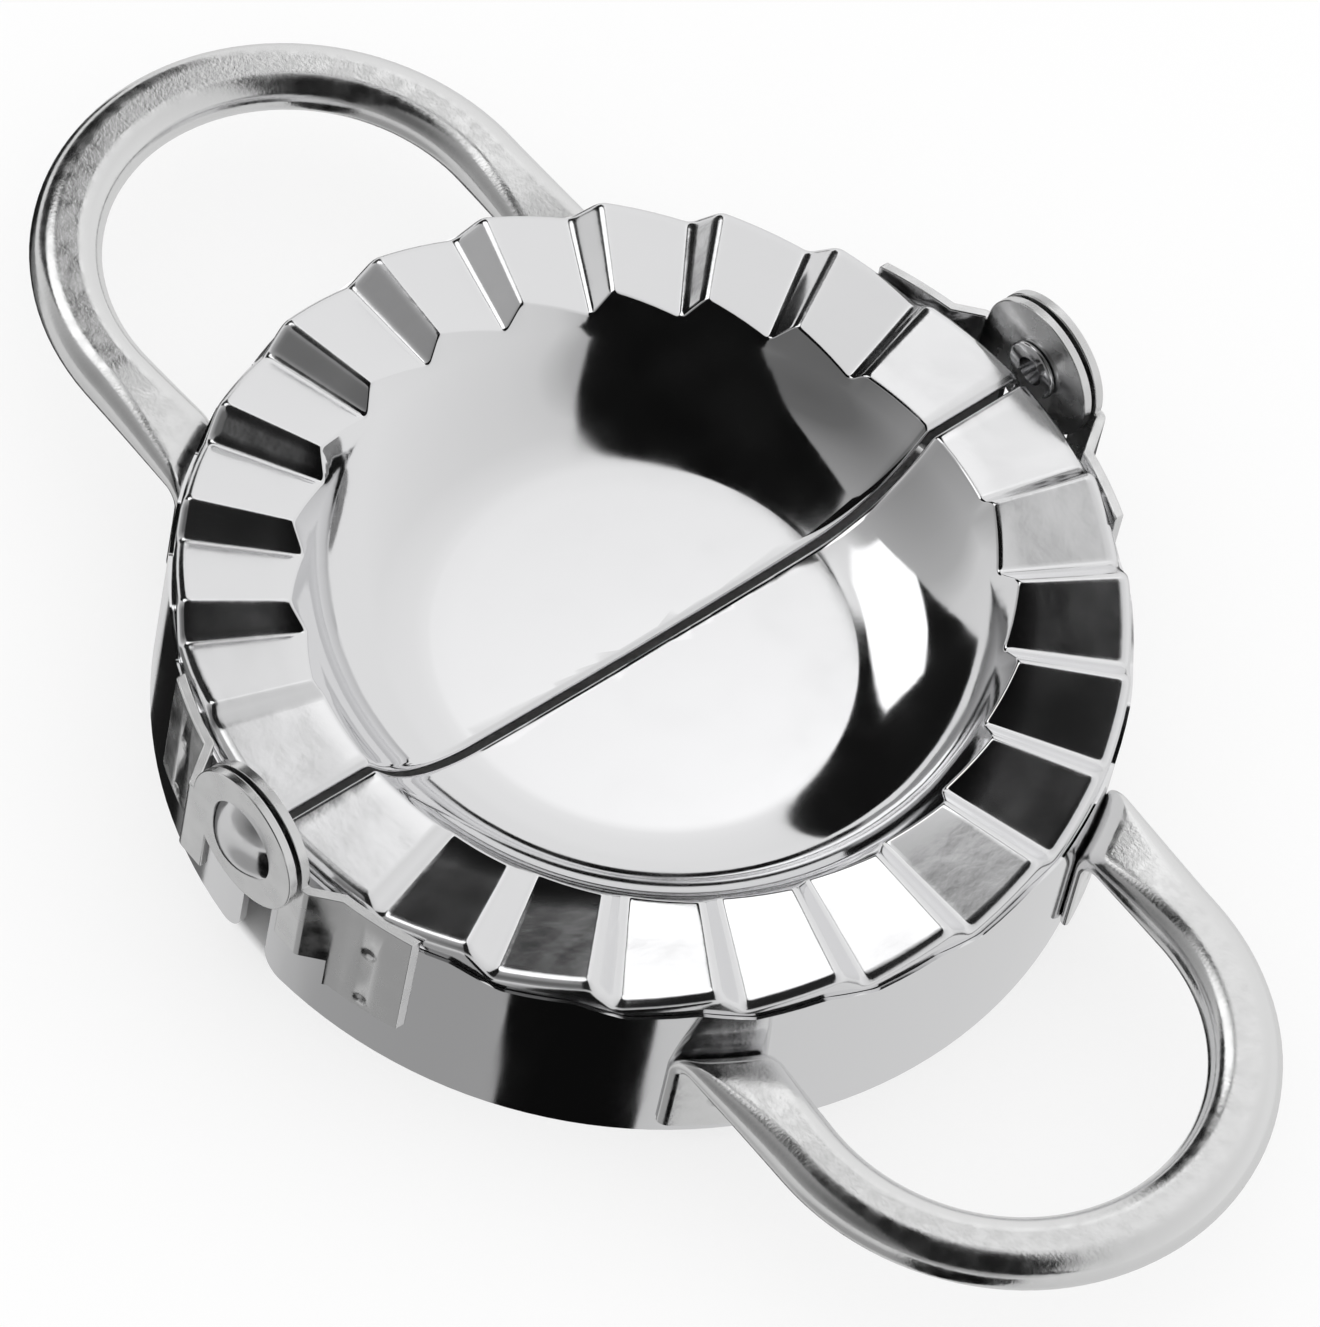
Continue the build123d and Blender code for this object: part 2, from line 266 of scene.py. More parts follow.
# %% [markdown]
# Spot welding leaves a small scorched dent where the electrode pressed. The mark could be a decal,
# but a distance to the weld gives a round spot without any picture. Every weld has a twin on the
# other side and on the other half, so the coordinates are folded into one quarter first, and noise
# makes the edge of the scorch ragged.
# %% Scorch marks round the welds
def scorch(nodes, links, shader, place, welds, radius, grey, burnt):
    """Darken the steel within a radius of each weld, given in millimetres."""
    folded = vector_sum(nodes, links, "ABSOLUTE", place)
    nearest = None
    for weld in welds:
        centre = [number * mm for number in weld]
        distance = vector_sum(nodes, links, "DISTANCE", folded, centre, answer="Value")
        if nearest is None:
            nearest = distance
        else:
            nearest = number_sum(nodes, links, "MINIMUM", nearest, distance)
    spot = between(nodes, links, nearest, 0.55 * radius, radius, 1.0, 0.0)
    flecks = between(nodes, links, patches(nodes, links, place, 0.8 * mm), 0.4, 0.55, 0.15, 1.0)
    colour = nodes.new("ShaderNodeMix")
    colour.data_type = "RGBA"
    colour.inputs["A"].default_value = (grey, grey, grey, 1)
    colour.inputs["B"].default_value = (burnt, burnt, burnt, 1)
    links.new(number_sum(nodes, links, "MULTIPLY", spot, flecks), colour.inputs["Factor"])
    links.new(colour.outputs["Result"], shader.inputs["Base Color"])


handle_weld = (23.75, 42.6, 7.0)
leaf_welds = [(46.3, 14.45, 8.6), (46.3, 14.45, 16.6)]
print("welds in one quarter", 1 + len(leaf_welds))


# %% [markdown]
# The handles are tube with a satin skin. It still shows lights, but breaks them up into speckles
# along their edges, which takes a rougher metal and a fine, shallow relief over slow waves.
# %% Satin tube of the handles
def satin_tube():
    material, nodes, links, shader, place = steel("satin_tube", 0.83)
    skin = patches(nodes, links, place, 1.6 * mm, detail=6.0)
    links.new(between(nodes, links, skin, 0.35, 0.65, 0.13, 0.23), shader.inputs["Roughness"])
    waves = relief(nodes, links, patches(nodes, links, place, 9 * mm), 0.02 * mm)
    speckles = patches(nodes, links, place, 0.35 * mm, detail=3.0)
    links.new(relief(nodes, links, speckles, 0.010 * mm, over=waves), shader.inputs["Normal"])
    scorch(nodes, links, shader, place, [handle_weld], 1.5 * mm, 0.83, 0.3)
    return material


tube_steel = satin_tube()
print("finish", tube_steel.name)


# %% [markdown]
# The hinge leaves are punched from plain sheet, duller than the moulds, with the grain of the mill
# still running along them. Their welds are small and almost black.
# %% Plain sheet of the hinge leaves
def plain_sheet():
    material, nodes, links, shader, place = steel("plain_sheet", 0.80)
    skin = patches(nodes, links, place, 3 * mm, detail=6.0)
    links.new(between(nodes, links, skin, 0.35, 0.65, 0.16, 0.30), shader.inputs["Roughness"])
    waves = relief(nodes, links, patches(nodes, links, place, 5 * mm), 0.03 * mm)
    grain = patches(nodes, links, place, 0.4 * mm, stretch=(1, 1, 5))
    links.new(relief(nodes, links, grain, 0.002 * mm, over=waves), shader.inputs["Normal"])
    scorch(nodes, links, shader, place, leaf_welds, 1.1 * mm, 0.80, 0.12)
    return material


leaf_steel = plain_sheet()
print("finish", leaf_steel.name)


# %% [markdown]
# The rivets have a turned head that hammering has left slightly uneven. Dents about as wide as a
# hammer's touch make the round highlight wobble, which is all that tells a set rivet from a new one.
# %% Hammered rivets
def hammered_rivet():
    material, nodes, links, shader, place = steel("hammered_rivet", 0.80)
    skin = patches(nodes, links, place, 1.2 * mm, detail=4.0)
    links.new(between(nodes, links, skin, 0.35, 0.65, 0.10, 0.20), shader.inputs["Roughness"])
    dents = patches(nodes, links, place, 1.8 * mm)
    links.new(relief(nodes, links, dents, 0.015 * mm), shader.inputs["Normal"])
    return material


rivet_steel = hammered_rivet()
print("finish", rivet_steel.name)

# %% [markdown]
# A press is sold as one finish, but its pieces are bought apart, so each kind of piece has its own
# steel and its own name for that finish. A table keeps the choice in one place, where a reader can
# change it.
# %% Finish of each kind of piece
finish_of = {"mould_shell": shell_steel, "cutter_ring": ring_steel, "handle": tube_steel,
             "outer_hinge_leaf": leaf_steel, "inner_hinge_leaf": leaf_steel, "hinge_rivet": rivet_steel}
print("kinds of piece", sorted(finish_of))


# %% [markdown]
# Every piece rides on the half that it is welded or riveted to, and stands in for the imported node
# of the same name, so the hinge still folds and the press keeps its parts list. No real edge is
# perfectly sharp: a thin bevel on the steep edges catches the line of light that a worn edge has.
# %% Dress a node
def dress(node_name, mesh, edge_width, sharp=30, edges_over=50):
    """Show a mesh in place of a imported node, with smooth faces, small rounded edges and its steel."""
    half, kind = node_name.split("_", 1)
    for polygon in mesh.polygons:
        polygon.use_smooth = True
    mesh.set_sharp_from_angle(angle=radians(sharp))
    mesh.materials.clear()
    mesh.materials.append(finish_of[kind])
    piece = put_in_scene("fine_" + node_name, mesh)
    if edge_width:
        bevel = piece.modifiers.new("edge", "BEVEL")
        bevel.width, bevel.segments = edge_width, 3
        bevel.limit_method, bevel.angle_limit = "ANGLE", radians(edges_over)
    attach(piece, half + "_half")
    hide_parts(node_name)
    return piece


print("pieces are put in place by", dress.__name__)


# %% [markdown]
# The front half is the same stamping and the same tube as the rear one, turned half way round, so
# each shape is made once for the rear and turned for the front. Turning the mesh rather than the
# object keeps every object at the origin, where the hinge and the patterns expect it.
# %% Front half
def turned_to_front(mesh):
    """Turn a rear piece half way round the axis of the press."""
    mesh.transform(Matrix.Rotation(pi, 4, "Z"))
    return mesh


print("front pieces come from", turned_to_front.__name__)


# %% [markdown]
# The rim is a saw: a long gentle flank rises over most of each 15 degrees, and a short steep one
# drops back. The teeth beside the hinge line stay level, so that the two halves meet flush there.
# The wave is written as its corners, and the height between two corners lies on a straight line,
# with a slight swell, because the sheet springs back after the tool lets go.
# %% Saw teeth
tooth_pitch, steep_angle, tooth_height = 15.0, 3.5, 2.5 * mm
swell = 0.04 * mm


def wave_corners(steep, height):
    """(angle, height) of the bends of one half, in degrees and metres."""
    corners = [(0.0, 0.0), (tooth_pitch, 0.0)]
    for k in range(1, 11):
        corners.append((k * tooth_pitch + steep / 2, -height / 2))
        corners.append(((k + 1) * tooth_pitch - steep / 2, height / 2))
    return corners + [(180 - tooth_pitch, 0.0), (180.0, 0.0)]


def wave(angle, corners):
    """Height of the straight-sided wave at an angle in degrees."""
    for (start, low), (end, high) in zip(corners, corners[1:]):
        if angle <= end:
            share = (angle - start) / (end - start)
            arched = swell * 4 * share * (1 - share) if high > low else 0
            return low + (high - low) * share + arched
    return 0.0


tooth_wave = wave_corners(steep_angle, tooth_height)
print("bends along a half rim", len(tooth_wave))

# %% [markdown]
# Sheet can't fold to a knife edge, so the corners are eased: the height is the mean of the wave
# over a short stretch. The seam, where the lip ends on the ring, follows the same beat with lower
# and slower waves, because the ring's edge is only filed to fit.
# %% Eased waves
bend_samples = 10
seam_steep_angle, seam_height = 6.5, 1.2 * mm
seam_wave = wave_corners(seam_steep_angle, seam_height)
tooth_bend, seam_bend = 0.7, 1.0           # degrees over which a bend is eased


def rounded_wave(angle, corners, bend):
    """The wave with its corners eased over a few tenths of a degree on each side."""
    middle = (bend_samples - 1) / 2
    nearby = [angle + bend * (k - middle) / middle for k in range(bend_samples)]
    return sum(wave(min(max(a, 0.0), 180.0), corners) for a in nearby) / bend_samples


print("crest height", round(rounded_wave(28.2, tooth_wave, tooth_bend) / mm, 2), "mm")

# %% [markdown]
# The shell's mesh is columns of points, one beside another round the rim. Evenly spaced columns
# would waste points on the flat flanks and miss the bends, so they stand close together at each
# crest and trough, and four more are shared out along every gentle flank.
# %% Columns of points
columns_at_bend, columns_on_flank = (-1.6, -1.0, -0.5, 0.0, 0.5, 1.0, 1.6), (1, 2, 3, 4)
tooth_columns = [0.0, 180.0]
for (start, _), (end, _) in zip(tooth_wave, tooth_wave[1:]):
    if end < 180:
        tooth_columns += [end + tooth_bend * step for step in columns_at_bend]
    if end - start > steep_angle:
        tooth_columns += [start + (end - start) * step / 5 for step in columns_on_flank]
tooth_columns.sort()
print("columns round a half shell", len(tooth_columns))

# %% [markdown]
# The bowl is a shallow dish: an almost level floor, one generous round and a wall that leaves at
# 52 degrees. The wall's round has to touch both, which fixes its centre: it lies as far from the
# floor's sphere as the round's radius, and on a line beside the wall. That is a quadratic, and its
# smaller answer is the centre on the near side of the sphere.
# %% Centre of the bowl's round
mouth_radius, wall_slope, bowl_depth = 35.4 * mm, radians(52), 8.85 * mm
bowl_round, floor_radius = 17 * mm, 600 * mm
floor_centre = floor_radius - bowl_depth
wall_tan = tan(wall_slope)
beside_wall = bowl_round / cos(wall_slope) - wall_tan * mouth_radius
square, linear = 1 + wall_tan ** 2, wall_tan * (beside_wall - floor_centre)
fixed = (beside_wall - floor_centre) ** 2 - (floor_radius - bowl_round) ** 2
round_r = (-linear - sqrt(linear * linear - square * fixed)) / square
round_z = wall_tan * round_r + beside_wall
print("centre of the round", round(round_r / mm, 2), round(round_z / mm, 2))


# %% [markdown]
# The section runs from the middle of the floor, through the round and the wall, over the mouth
# and along a tooth, and down over the lip to the seam on the ring. A curve object could carry it,
# but plain points can each be told how to behave on the wave: floor and wall stay still, the mouth
# slides on the wall, a pad tilts, the lip follows the tooth and the seam follows the ring.
# %% Bowl rows
def arc(centre_r, centre_z, radius, from_angle, to_angle, steps):
    """Points (r, z) along an arc."""
    angles = [from_angle + (to_angle - from_angle) * k / steps for k in range(steps + 1)]
    return [(centre_r + radius * cos(a), centre_z + radius * sin(a)) for a in angles]


floor_steps, wall_steps = 8, 22
touch = atan2(round_z - floor_centre, round_r)         # where the floor goes over into the round
floor_angles = [k * (touch + pi / 2) / floor_steps for k in range(1, floor_steps)]
floor_row = [(floor_radius * sin(a), floor_centre - floor_radius * cos(a)) for a in floor_angles]
wall_row = arc(round_r, round_z, bowl_round, touch, wall_slope - pi / 2, wall_steps)
print("bowl points", len(floor_row + wall_row))

# %% [markdown]
# Outside the mouth comes the part that is crimped. A small round leads from the wall onto the
# tooth, and a rounder one leads from the tooth down over the lip, where the sheet ends just below
# the ring's edge.
# %% Rim rows
mouth_round, lip_radius, lip_bend, seam_drop = 0.5 * mm, 47.1 * mm, 1.0 * mm, 1.9 * mm
tooth_radius = 46.1 * mm                               # outer end of a tooth's flat
mouth_steps, lip_steps = 5, 7
mouth_bend = mouth_round * tan(wall_slope / 2)
pad_start = mouth_radius + mouth_bend
mouth_row = arc(pad_start, -mouth_round, mouth_round, pi / 2 + wall_slope, pi / 2, mouth_steps)
pad_row = [(pad_start + (tooth_radius - mouth_radius - mouth_bend) * share, 0.0)
           for share in (0.04, 0.25, 0.5, 0.75, 0.96)]
lip_row = arc(tooth_radius, -lip_bend, lip_bend, pi / 2, 0, lip_steps)
seam_row = [(lip_radius, -seam_drop + 0.05 * mm)]
shell_section = [(kind, r, z) for kind, row in
                 (("still", floor_row + wall_row), ("mouth", mouth_row), ("pad", pad_row),
                  ("lip", lip_row), ("seam", seam_row)) for r, z in row]
print("section of", len(shell_section), "points")

# %% [markdown]
# A stamping never comes out of its tool quite level: the teeth lean in towards the bowl by a
# degree, and most teeth of the front half by two or three more. That is too little to see in the
# outline, but a mirror doubles every tilt, so it decides which tooth catches the window.
# %% Lean of the teeth
lean, deeper_lean = tan(radians(1)), tan(radians(2.5))
lean_starts, lean_full, lean_fades, lean_ends = 15, 30, 110, 140       # degrees along the rim


def lean_of_teeth(angle, deeper):
    """Slope towards the bowl, with the deeper crimp fading in and out along the rim."""
    fading_in = (angle - lean_starts) / (lean_full - lean_starts)
    fading_out = (lean_ends - angle) / (lean_ends - lean_fades)
    return lean + deeper * max(0.0, min(1.0, fading_in, fading_out))


print("lean at a front tooth", round(lean_of_teeth(60, deeper_lean), 3))


# %% [markdown]
# Each flank is a plane through the middle of the ring, so a tooth grows with its radius. The mouth
# of the bowl lies where that plane meets the wall's cone: where a tooth rises, the mouth slides up
# and outwards on the wall, and where it sinks, down and inwards. That is what gives the mouth of
# the bowl its own soft zigzag.
# %% Place of a point on the shell
def shell_point(kind, r, z, angle, deeper):
    """Place of a section point on the column at an angle in degrees."""
    slope = lean_of_teeth(angle, deeper)
    rise = rounded_wave(angle, tooth_wave, tooth_bend) / tooth_radius
    mouth_rise = ((rise * mouth_radius - (tooth_radius - mouth_radius) * slope)
                  / (1 - (rise + slope) / wall_tan))
    if kind in ("mouth", "pad"):
        share = max(0.0, (r - mouth_radius - mouth_bend) / (tooth_radius - mouth_radius - mouth_bend))
        r += (1 - share) * mouth_rise / wall_tan
        z += mouth_rise if kind == "mouth" else rise * r - (tooth_radius - r) * slope
    if kind == "lip":
        z += rise * r
    if kind == "seam":
        z += rounded_wave(angle, seam_wave, seam_bend)
    return Vector((r * cos(radians(angle)), r * sin(radians(angle)), tooth_plane + z))


print("a lip point", [round(number / mm, 2) for number in shell_point("lip", lip_radius, 0, 30, 0)])


# %% [markdown]
# The shell is one thin sheet, pressed between two tools. Its section is the same all the way
# round, so a spin makes the surface, as on a lathe. Then every column is moved from its even
# spacing to its own angle and every point to its height on the wave, which a spin alone can't do.
# Each point remembers its row of the section in an integer layer.
# %% Spin and crimp
def spun_half(section, columns, deeper):
    """Spin a section over half a turn and move its columns to their angles."""
    bm = bmesh.new()
    row_of = bm.verts.layers.int.new("row")
    first = []
    for row, (kind, r, z) in enumerate(section):
        vert = bm.verts.new((r, 0, z))
        vert[row_of] = row
        first.append(vert)
    edges = [bm.edges.new(pair) for pair in zip(first, first[1:])]
    steps = len(columns) - 1
    bmesh.ops.spin(bm, geom=first + edges, cent=(0, 0, 0), axis=(0, 0, 1), angle=pi, steps=steps,
                   use_merge=False)
    for vert in bm.verts:
        kind, r, z = section[vert[row_of]]
        column = round(atan2(abs(vert.co.y), vert.co.x) * steps / pi)
        vert.co = shell_point(kind, r, z, columns[column], deeper)
    bmesh.ops.remove_doubles(bm, verts=bm.verts, dist=1e-7)
    bmesh.ops.recalc_face_normals(bm, faces=bm.faces)
    return bm


print("surface made by", spun_half.__name__)

# %% [markdown]
# Along the hinge line both half moulds have their edge turned down, so that the two meet in a
# narrow groove. A bevel can't do this on a sheet without thickness. Cuts parallel to the line give
# the points for the turn, the last cut takes away what lies beyond it, and every point near the
# line then sinks by the height of a quarter circle.
# %% Turned edge
split_face, split_round = 0.35 * mm, 0.7 * mm
turn_cuts = (0, 18, 36, 54, 72)            # degrees round the quarter circle


def cut(bm, y, clear=False):
    """Cut the sheet along a line parallel to the hinge line."""
    bmesh.ops.bisect_plane(bm, geom=bm.verts[:] + bm.edges[:] + bm.faces[:], plane_co=(0, y, 0),
                           plane_no=(0, 1, 0), clear_inner=clear)


def turn_split_edge_down(bm):
    """Round the edge along the hinge line downwards."""
    for turned in turn_cuts:
        cut(bm, split_face + split_round * (1 - sin(radians(turned))))
    cut(bm, split_face, clear=True)
    for vert in bm.verts:
        sine = 1 - (vert.co.y - split_face) / split_round
        if sine > 0:
            vert.co.z -= split_round * (1 - sqrt(max(0.0, 1 - sine * sine)))


print("edge turned down by", round(split_round / mm, 2), "mm")


# %% [markdown]
# The spin leaves a small half-round hole in the middle of the floor, because columns that all met
# in one point would pinch the reflections there. One flat face closes it. The sheet's upper side
# has to be the outer side of its faces before it gets a thickness, so it is checked on that face.
# %% Half shell
def half_shell(deeper):
    """One half mould as a sheet without thickness, with its upper side outwards."""
    bm = spun_half(shell_section, tooth_columns, deeper)
    hole_radius = shell_section[0][1]
    inmost = sorted((vert for vert in bm.verts if vert.co.xy.length < hole_radius * 1.01),
                    key=lambda vert: vert.co.x)
    rim = [bm.edges.get(pair) for pair in zip(inmost, inmost[1:])]
    rim.append(bm.edges.new((inmost[0], inmost[-1])))
    middle = bmesh.ops.edgeloop_fill(bm, edges=rim)["faces"][0]
    bmesh.ops.recalc_face_normals(bm, faces=bm.faces)
    if middle.normal.z < 0:
        bmesh.ops.reverse_faces(bm, faces=bm.faces)
    turn_split_edge_down(bm)
    return mesh_from(bm, "half_shell")


shell_meshes = {"rear": half_shell(0), "front": turned_to_front(half_shell(deeper_lean))}
print("faces in a half shell", len(shell_meshes["rear"].polygons))

# %% [markdown]
# The sheet is 0.6 mm thick. A Solidify modifier gives the lower side, evenly even on the bends,
# and it has to work before the bevel, because the edges to be rounded only exist once the sheet
# has a thickness. So it is moved to the top of the stack.
# %% Thickness of the shells
sheet, shell_edge = 0.6 * mm, 0.12 * mm


def thicken(piece, thickness):
    """Give a sheet its thickness on its lower side, before its edges are rounded."""
    solid = piece.modifiers.new("sheet", "SOLIDIFY")
    solid.thickness, solid.offset, solid.use_even_offset = thickness, -1, True
    piece.modifiers.move(len(piece.modifiers) - 1, 0)
    return piece


for half, mesh in shell_meshes.items():
    shell = thicken(dress(half + "_mould_shell", mesh, shell_edge), sheet)
    print(shell.name, [modifier.type for modifier in shell.modifiers])

# %% [markdown]
# A handle is one length of tube, squashed a little where it is gripped and pressed flat where it
# is welded. Its section is an oval with flat sides, and the same count of points describes both
# ends of that range, so one shape can go over into the other without a seam.
# %% Flat-sided oval of the tube
tube_width, tube_height = 7.3 * mm, 4.7 * mm
strip_width, strip_height = 8.6 * mm, 1.2 * mm         # where the tube is pressed flat
round_points, side_points = 13, 6


def oval(width, height):
    """Points round the tube's section, as (across, up)."""
    points = []
    flat = (width - height) / 2
    angles = [pi * (k / (round_points - 1) - 0.5) for k in range(round_points)]
    for side in (1, -1):
        points += [(side * (flat + height / 2 * cos(a)), side * height / 2 * sin(a)) for a in angles]
        points += [(side * flat * (1 - 2 * k / (side_points + 1)), side * height / 2)
                   for k in range(1, side_points + 1)]
    return points


points_round_tube = len(oval(tube_width, tube_height))
print("points round the tube", points_round_tube)

# %% [markdown]
# The tube stands on the ring with two flat feet, turns outwards over a tight bend, opens to its
# full section along the leg, and runs round the loop to the other leg. The run is a list of steps,
# each with its side, its stretch and how far along that stretch it lies.
# %% Run of a handle
handle_height = tooth_plane - 8.75 * mm                # middle of the tube
foot_start, bend_radius = 2.4 * mm, 2.1 * mm
bend_opened, bend_lift = 0.38, 0.5 * mm                # the tube has begun to open at its bend
foot_steps, bend_steps, leg_steps, loop_steps = 6, 8, 16, 56
foot_top = handle_height + bend_lift - bend_radius
foot = [("foot", foot_start + (foot_top - foot_start) * k / foot_steps) for k in range(foot_steps)]
bend = [("bend", pi / 2 * k / bend_steps) for k in range(bend_steps + 1)]
leg = [("leg", k / leg_steps) for k in range(1, leg_steps + 1)]
half_way = foot + bend + leg
handle_run = ([(1, stretch, along) for stretch, along in half_way]
              + [(1, "loop", pi * k / loop_steps) for k in range(1, loop_steps)]
              + [(-1, stretch, along) for stretch, along in reversed(half_way)])
print("steps along a handle", len(handle_run))


# %% [markdown]
# A tube that has been pressed flat doesn't open all at once. It is flat on the foot, has opened
# by a third at the end of the bend, and reaches its full section near the end of the leg. Its top
# stays almost level on the way, which is why the middle is lifted a little at the bend.
# %% How far the tube is open
fully_open = 0.95                          # share of the leg


def opened_and_lifted(stretch, along):
    """Share of the full section, and height above the handle's middle, at one step of the run."""
    if stretch == "loop":
        return 1.0, 0.0
    if stretch == "foot":
        return 0.0, bend_lift
    if stretch == "bend":
        return bend_opened * along / (pi / 2), bend_lift
    share = min(1.0, along / fully_open)
    opened = bend_opened + (1 - bend_opened) * share * (1.25 - 0.25 * share * share)
    return opened, bend_lift * (1 - share)


print("open at mid leg", round(opened_and_lifted("leg", 0.5)[0], 2))

# %% [markdown]
# Every point of the section is then put where the tube has it. The foot hugs the round wall of
# the ring, so its distance from the hinge line depends on how far out the point lies. The loop is
# a half circle about a point on the handle's middle line.
# %% Place of a point on the handle
ring_outer, leg_spread, loop_start = 47.5 * mm, 23.75 * mm, 55.15 * mm


def handle_point(side, stretch, along, n):
    """Place of point n of the section at one step of the run, on the side of either leg."""
    opened, lift = opened_and_lifted(stretch, along)
    across, thick = oval(strip_width + opened * (tube_width - strip_width),
                         strip_height + opened * (tube_height - strip_height))[n]
    out = leg_spread + across
    if stretch == "loop":
        return Vector((out * cos(along), loop_start + out * sin(along), handle_height + thick))
    seat = sqrt(ring_outer ** 2 - out ** 2) + strip_height / 2
    if stretch == "foot":
        return Vector((side * out, seat - thick, along))
    if stretch == "bend":
        reach = bend_radius + thick
        return Vector((side * out, seat + bend_radius - reach * cos(along),
                       handle_height + lift - bend_radius + reach * sin(along)))
    on_leg = (seat + bend_radius) * (1 - along) + loop_start * along
    return Vector((side * out, on_leg, handle_height + lift + thick))


outermost = max(handle_point(1, "loop", pi / 2, n).y for n in range(points_round_tube))
print("end of the loop", round(outermost / mm, 1), "mm")


# %% [markdown]
# A curve with a bevel could make a tube, but not one that goes flat. So a loop of edges is
# extruded from one foot to the other, and every new loop takes the width, height and place that
# the tube has there. Both open ends are filled, and that makes one closed skin.
# %% Extrude a handle
def extruded_handle():
    """One handle, from foot to foot."""
    bm = bmesh.new()
    order = bm.verts.layers.int.new("order")
    start = bmesh.ops.create_circle(bm, segments=points_round_tube, radius=leg_spread)["verts"]
    for n, vert in enumerate(start):
        vert[order] = n
        vert.co = handle_point(*handle_run[0], n)
    first = edges = bm.edges[:]
    for step in handle_run[1:]:
        made = bmesh.ops.extrude_edge_only(bm, edges=edges)["geom"]
        verts = {item for item in made if isinstance(item, bmesh.types.BMVert)}
        for vert in verts:
            vert.co = handle_point(*step, vert[order])
        edges = [item for item in made
                 if isinstance(item, bmesh.types.BMEdge) and set(item.verts) <= verts]
    bmesh.ops.edgeloop_fill(bm, edges=first)
    bmesh.ops.edgeloop_fill(bm, edges=edges)
    bmesh.ops.remove_doubles(bm, verts=bm.verts, dist=1e-6)
    bmesh.ops.recalc_face_normals(bm, faces=bm.faces)
    return mesh_from(bm, "handle")


handle_meshes = {"rear": extruded_handle(), "front": turned_to_front(extruded_handle())}
for half, mesh in handle_meshes.items():
    handle = dress(half + "_handle", mesh, 0, sharp=50)
    print(handle.name, "faces", len(mesh.polygons))


# %% [markdown]
# Rings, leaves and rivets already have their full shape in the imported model, so making them again
# would only risk a difference. Their meshes are loose triangles, though, which shade in facets. A
# copy is merged and its flat areas dissolved, so that its round walls shade smoothly. The packed
# normals would keep the facets, so they are taken off the copy. Only the punched leaves have edges
# that want a visible round.
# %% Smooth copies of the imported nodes
leaf_edge = 0.14 * mm


def smooth_copy(node_name, edge_width):
    """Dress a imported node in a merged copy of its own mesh."""
    bm = bmesh.new()
    bm.from_mesh(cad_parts[node_name].data)
    bmesh.ops.remove_doubles(bm, verts=bm.verts, dist=1e-6)
    bmesh.ops.dissolve_limit(bm, angle_limit=radians(0.3), verts=bm.verts, edges=bm.edges)
    mesh = mesh_from(bm, "fine_" + node_name)
    if "custom_normal" in mesh.attributes:
        mesh.attributes.remove(mesh.attributes["custom_normal"])
    return dress(node_name, mesh, edge_width, edges_over=35)


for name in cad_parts:
    if "shell" not in name and "handle" not in name:
        copy = smooth_copy(name, leaf_edge if "leaf" in name else 0)
        print(copy.name, "faces", len(copy.data.polygons))

# %% [markdown]
# The press lies on a plain white table. One big square is enough, a fifth of a millimetre under
# the cutting edges, so that the two surfaces never fight over the same place. The white is matt,
# because a glossy table would mirror the press.
# %% Table
table_half, table_gap = 3.0, 0.2 * mm
bm = bmesh.new()
bmesh.ops.create_grid(bm, x_segments=1, y_segments=1, size=table_half,
                      matrix=Matrix.Translation((0, 0, -table_gap)))
table_mesh = mesh_from(bm, "floor")
table = put_in_scene("floor", table_mesh)
material, nodes, links, shader = new_material("pale_floor")
table_mesh.materials.append(material)
shader.inputs["Base Color"].default_value = (1, 1, 1, 1)
shader.inputs["Roughness"].default_value = 1.0
shader.inputs["Specular IOR Level"].default_value = 0.0
print("table laid,", 2 * table_half, "m wide")

# %% [markdown]
# A lit white table is never quite as white as the page round a product picture. Brighter lamps
# would burn out the steel, so the camera instead sees the table mixed with plain white, and the
# part that isn't white keeps the shadow. Inside the ring the table stays dark, because that is
# what shows through the gap between the halves.
# %% Table seen by the camera
table_white = 0.7
dark_within, white_beyond = 46 * mm, 47 * mm           # just inside the ring, and outside it
place = nodes.new("ShaderNodeTexCoord").outputs["Object"]
from_middle = vector_sum(nodes, links, "LENGTH", place, answer="Value")
outside = between(nodes, links, from_middle, dark_within, white_beyond, 0.0, 1.0)
ray = nodes.new("ShaderNodeLightPath")
whitened = between(nodes, links, outside, 0.0, 1.0, 0.0, table_white)
seen = number_sum(nodes, links, "MULTIPLY", ray.outputs["Is Camera Ray"], whitened)
white = nodes.new("ShaderNodeEmission")
lit_table = nodes.new("ShaderNodeMixShader")
links.new(seen, lit_table.inputs[0])
links.new(shader.outputs[0], lit_table.inputs[1])
links.new(white.outputs[0], lit_table.inputs[2])
print("camera sees", table_white, "white outside the ring")

# %% [markdown]
# Polished walls mirror whatever lies below them. On a table lit from all round that would be one
# even white, and the ring would vanish into the page. So reflected rays pass through the table
# outside the ring, and meet the lower part of the room instead, which has its own greys.
# %% Table seen by the steel
through = nodes.new("ShaderNodeBsdfTransparent")
mirrored_table = nodes.new("ShaderNodeMixShader")
passes = number_sum(nodes, links, "MULTIPLY", ray.outputs["Is Glossy Ray"], outside)
links.new(passes, mirrored_table.inputs[0])
links.new(lit_table.outputs[0], mirrored_table.inputs[1])
links.new(through.outputs[0], mirrored_table.inputs[2])
links.new(mirrored_table.outputs[0], nodes["Material Output"].inputs["Surface"])
print("table shader has", len(nodes), "nodes")


# %% [markdown]
# Mirror steel has no look of its own: it shows black and white cards hung round it, as in any
# studio for cutlery. A card far away is only a patch of directions, so it is described by the
# azimuths and elevations of its corners, as seen from the press. The cards glow by themselves and
# are hidden from all but reflected rays, so they neither light the table nor cast a shadow.
# %% Cards for the steel to mirror
def towards(azimuth, elevation):
    """Unit vector towards a direction in degrees."""
    a, e = radians(azimuth), radians(elevation)
    return Vector((cos(a) * cos(e), sin(a) * cos(e), sin(e)))


